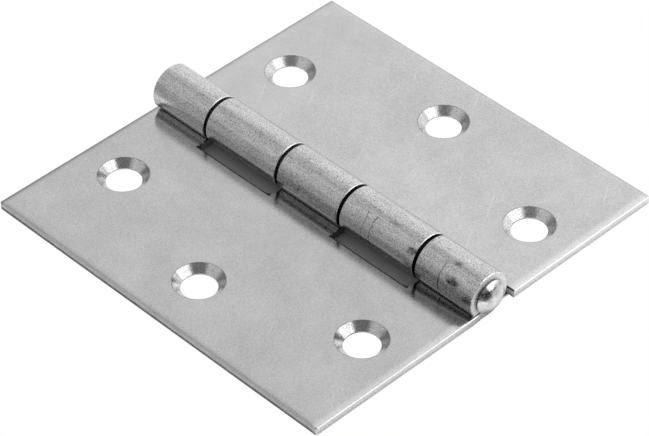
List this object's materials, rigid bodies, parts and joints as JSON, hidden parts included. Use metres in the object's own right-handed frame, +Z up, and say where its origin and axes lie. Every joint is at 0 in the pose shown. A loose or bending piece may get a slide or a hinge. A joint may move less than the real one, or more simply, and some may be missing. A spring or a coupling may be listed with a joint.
{
  "type": "butt hinge",
  "caption": "Square steel butt hinge lying open: flat sheet leaves with countersunk screw holes, rolled interleaved knuckles and a pin with low domed heads.",
  "frame": {"origin": "on the surface that the open leaves lie on, straight under the middle of the pin", "axes": "+Z up out of the leaves' backs towards the knuckles, +Y along the pin, +X towards the two-knuckle leaf"},
  "size_m": [0.0764, 0.0782, 0.0084],
  "materials": {
    "leaf_steel": "bare rolled steel, satin with a fine mottled grain",
    "pin_steel": "bright drawn steel"
  },
  "bodies": {
    "front": {"front_leaf": "leaf_steel", "hinge_pin": "pin_steel"},
    "rear": {"rear_leaf": "leaf_steel"}
  },
  "joints": [
    {"name": "leaf_swing", "type": "hinge", "parent": "front", "child": "rear", "pos_m": [0, 0, 0.0042], "axis": [0, -1, 0], "range_deg": [-103, 187]}
  ]
}
